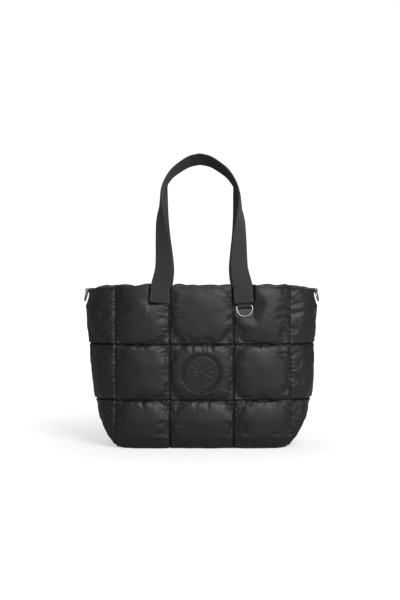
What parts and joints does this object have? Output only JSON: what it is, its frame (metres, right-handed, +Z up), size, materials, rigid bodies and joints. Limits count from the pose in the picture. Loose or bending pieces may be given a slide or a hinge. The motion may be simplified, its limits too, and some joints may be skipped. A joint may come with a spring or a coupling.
{
  "type": "puffer tote bag",
  "caption": "Open quilted padded tote bag with webbing handles, a round patch and D-rings at the front and sides.",
  "frame": {"origin": "middle of the base's underside, on the surface that the bag stands on", "axes": "+Z up, -Y out of the front panel with the patch, +X to the right seen from the front"},
  "size_m": [0.4772, 0.1863, 0.5865],
  "materials": {
    "nylon": "charcoal black padded nylon with a soft sheen",
    "webbing": "matte dark grey woven webbing",
    "moulded_patch": "matte black moulded leather-like patch",
    "polished_steel": "polished silver steel wire"
  },
  "bodies": {
    "bag": {"front_panel": "nylon", "back_panel": "nylon", "base_panel": "nylon", "handle_front": "webbing", "handle_back": "webbing", "patch": "moulded_patch", "ring_loop_front": "webbing", "side_loop_left": "webbing", "side_loop_right": "webbing"},
    "front_ring": {"ring_front": "polished_steel"},
    "left_ring": {"side_ring_left": "polished_steel"},
    "right_ring": {"side_ring_right": "polished_steel"}
  },
  "joints": [
    {"name": "front_ring_swing", "type": "hinge", "parent": "bag", "child": "front_ring", "pos_m": [0.08341, -0.0827, 0.2815], "axis": [-0.9966, 0, -0.0819], "range_deg": [0, 105]},
    {"name": "left_ring_swing", "type": "hinge", "parent": "bag", "child": "left_ring", "pos_m": [-0.23269, 0, 0.3105], "axis": [0, 1, 0], "range_deg": [0, 150]},
    {"name": "right_ring_swing", "type": "hinge", "parent": "bag", "child": "right_ring", "pos_m": [0.23269, 0, 0.3105], "axis": [0, -1, 0], "range_deg": [0, 150]}
  ]
}
